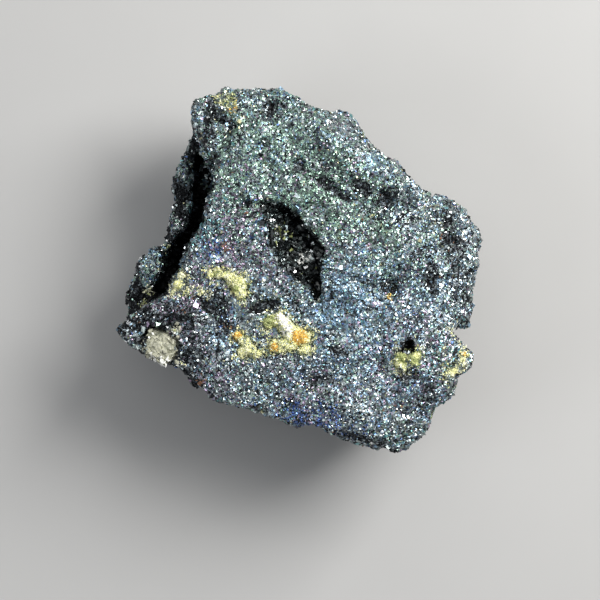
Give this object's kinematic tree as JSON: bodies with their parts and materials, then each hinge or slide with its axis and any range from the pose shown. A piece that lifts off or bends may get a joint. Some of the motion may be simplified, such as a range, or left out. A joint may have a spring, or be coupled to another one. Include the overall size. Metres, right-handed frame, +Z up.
{
  "type": "galena specimen",
  "caption": "Rough hand specimen of fine-grained galena, broken all round, with a crystal-lined hollow, a deep side crevice, yellow mineral crusts and a pale quartz grain.",
  "frame": {"origin": "on the surface it lies on, under the middle of the rock's box", "axes": "+Z up, out of the pictured face; +Y towards the narrow upper end of the pictured face, +X towards its right edge"},
  "size_m": [0.0726, 0.0722, 0.0368],
  "materials": {
    "galena": "satin",
    "vug_crystal": "satin",
    "quartz": "satin",
    "yellow_crust": "matte"
  },
  "bodies": {
    "root": {"galena_mass": "galena", "vug_crystals": "vug_crystal", "quartz_grain": "quartz", "yellow_crust_upper": "yellow_crust", "yellow_crust_lower": "yellow_crust", "yellow_crust_small": "yellow_crust", "pit_crust": "yellow_crust", "edge_crust": "yellow_crust", "crevice_crust": "yellow_crust"}
  },
  "joints": []
}
